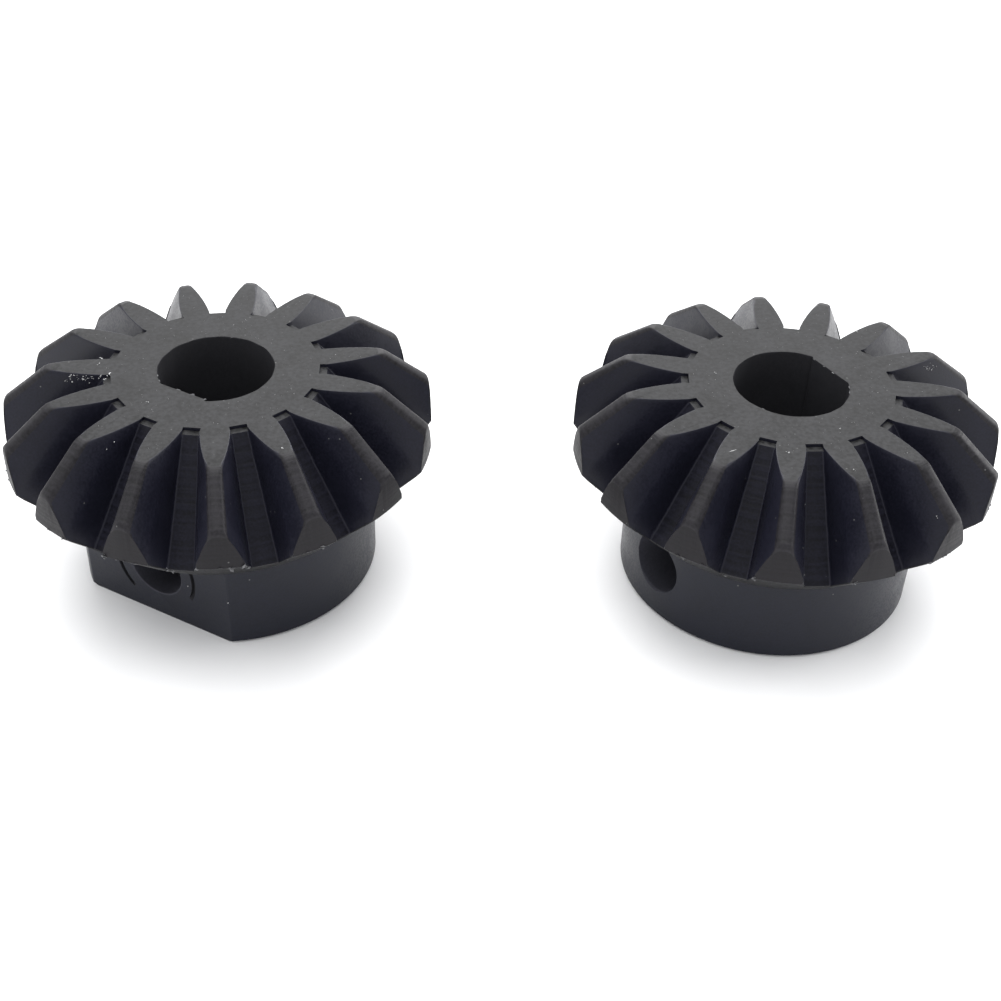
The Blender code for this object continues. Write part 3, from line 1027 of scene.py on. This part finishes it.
def place(item, side, axis_x):
    """Turns a piece with its gear and moves it to the gear's axis."""
    item.data.transform(Matrix.Rotation(FACING[side], 4, "Z"))
    item.location = (axis_x, 0.0, 0.0)


def floor_and_light():
    bpy.ops.mesh.primitive_plane_add(size=FLOOR_SIZE)
    floor = bpy.context.object
    floor.name = "floor"
    material = bpy.data.materials.new("floor_white")
    material.use_nodes = True
    shader = material.node_tree.nodes["Principled BSDF"]
    shader.inputs["Base Color"].default_value = FLOOR_COLOUR
    shader.inputs["Roughness"].default_value = 0.9
    shader.inputs["Specular IOR Level"].default_value = 0.1
    floor.data.materials.append(material)
    world = bpy.data.worlds.new("studio")
    bpy.context.scene.world = world
    world.use_nodes = True
    background = world.node_tree.nodes["Background"]
    background.inputs["Color"].default_value = WORLD_COLOUR
    background.inputs["Strength"].default_value = WORLD_STRENGTH
    for name, place_at, size, power in SOFTBOXES:
        softbox(name, place_at, size, power)


def softbox(name, place_at, size, power):
    light = bpy.data.lights.new(name, "AREA")
    light.shape = "SQUARE"
    light.size = size
    light.energy = power
    item = bpy.data.objects.new(name, light)
    bpy.context.scene.collection.objects.link(item)
    item.location = place_at
    aim = LIGHTS_AIM - Vector(place_at)
    item.rotation_euler = aim.to_track_quat("-Z", "Y").to_euler()


def camera():
    data = bpy.data.cameras.new("camera")
    data.sensor_width = CAMERA_SENSOR
    data.lens = CAMERA_LENS
    item = bpy.data.objects.new("camera", data)
    bpy.context.scene.collection.objects.link(item)
    yaw, pitch, roll = (math.radians(a) for a in (CAMERA_YAW, CAMERA_PITCH, CAMERA_ROLL))
    forward = Vector((math.sin(yaw) * math.cos(pitch), math.cos(yaw) * math.cos(pitch), -math.sin(pitch)))
    level = Vector((math.cos(yaw), -math.sin(yaw), 0.0))
    rise = level.cross(forward)
    right = level * math.cos(roll) + rise * math.sin(roll)
    up = rise * math.cos(roll) - level * math.sin(roll)
    basis = Matrix((right, up, -forward)).transposed().to_4x4()
    item.matrix_world = Matrix.Translation(CAMERA_PLACE * MM) @ basis
    bpy.context.scene.camera = item


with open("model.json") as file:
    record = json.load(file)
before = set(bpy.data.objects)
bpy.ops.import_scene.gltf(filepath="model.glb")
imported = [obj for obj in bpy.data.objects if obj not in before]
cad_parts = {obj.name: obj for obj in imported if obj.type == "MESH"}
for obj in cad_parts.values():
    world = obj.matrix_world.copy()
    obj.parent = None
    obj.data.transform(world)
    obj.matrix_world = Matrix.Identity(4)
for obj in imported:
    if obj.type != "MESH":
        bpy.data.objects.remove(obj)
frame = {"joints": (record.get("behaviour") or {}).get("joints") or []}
cad_box = [list(corner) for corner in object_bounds()]
right_axis_x = frame["joints"][0]["pos_m"][0]
axis_x = {"left": -right_axis_x, "right": right_axis_x}
bpy.context.scene.view_settings.view_transform = "Standard"
camera()
floor_and_light()
# Every zone is the same black plastic. Their colours differ partly by painted light, which is named above
# each zone that holds it.
zones = [
    # Top face: lighter than the other zones, a painted sheen of the overhead light, with the real mottle and
    # pale specks on it.
    plastic("top_face_painted_sheen", (0.024, 0.024, 0.025), 0.55, fleck_share=0.05, specular=0.12, contrast=0.6,
            grain_per_mm=2.8),
    # Flanks: the blue in this colour is a painted bluish reflection of the surroundings.
    plastic("flank", (0.0092, 0.0094, 0.0165), 0.42, contrast=0.18),
    plastic("tip_land", (0.0125, 0.0115, 0.014), 0.5, ("rungs", 2.6, 0.03), contrast=0.5),
    # Root land: darker than the flanks, painted shade at the bottom of the spaces, and bluish, a painted
    # reflection.
    plastic("root_land_painted_shade", (0.0068, 0.0068, 0.012), 0.46, ("rungs", 2.0, 0.03), specular=0.15, contrast=0.5),
    plastic("outer_face", (0.0105, 0.0095, 0.0115), 0.5, ("turned", 2.5, 0.006), specular=0.17),
    plastic("back_face", (0.011, 0.011, 0.012), 0.5, ("turned", 2.5, 0.01)),
    # Hub: the blue in this colour is a painted bluish reflection.
    plastic("hub", (0.0067, 0.0077, 0.0147), 0.38, fleck_share=0.01, specular=0.26, contrast=0.15),
    # Bore: lighter than the hub's plastic, painted fill light inside the bore.
    plastic("bore", (0.024, 0.024, 0.027), 0.7, fleck_share=0.0, specular=0.08, contrast=0.1),
    # Rounded rim edges: paler than the faces beside them, a painted highlight along the rim.
    plastic("rim_edge_painted_highlight", (0.03, 0.03, 0.032), 0.45, specular=0.3),
    # Cross hole: much lighter than the plastic around it, painted fill light inside the hole.
    plastic("hole", (0.046, 0.046, 0.057), 0.65, fleck_share=0.0, specular=0.1, contrast=0.1),
]
litter_materials = [
    plastic("burr", (0.1, 0.1, 0.105), 0.5, specular=0.4),
    plastic("dust", (0.45, 0.45, 0.45), 0.7, specular=0.3),
]
steel = black_steel("screw_black_oxide")
for side in FACING:
    gear, exits = make_gear(side, zones)
    litter = make_litter(side, exits, litter_materials)
    for piece in (gear, litter):
        place(piece, side, axis_x[side])
        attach(piece, side + "_gear")
    keep_in_box(litter, cad_box)
    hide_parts(side + "_gear")
    screw = make_screw(side, steel)
    place(screw, side, axis_x[side])
    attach(screw, side + "_set_screw")
    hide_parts(side + "_set_screw")
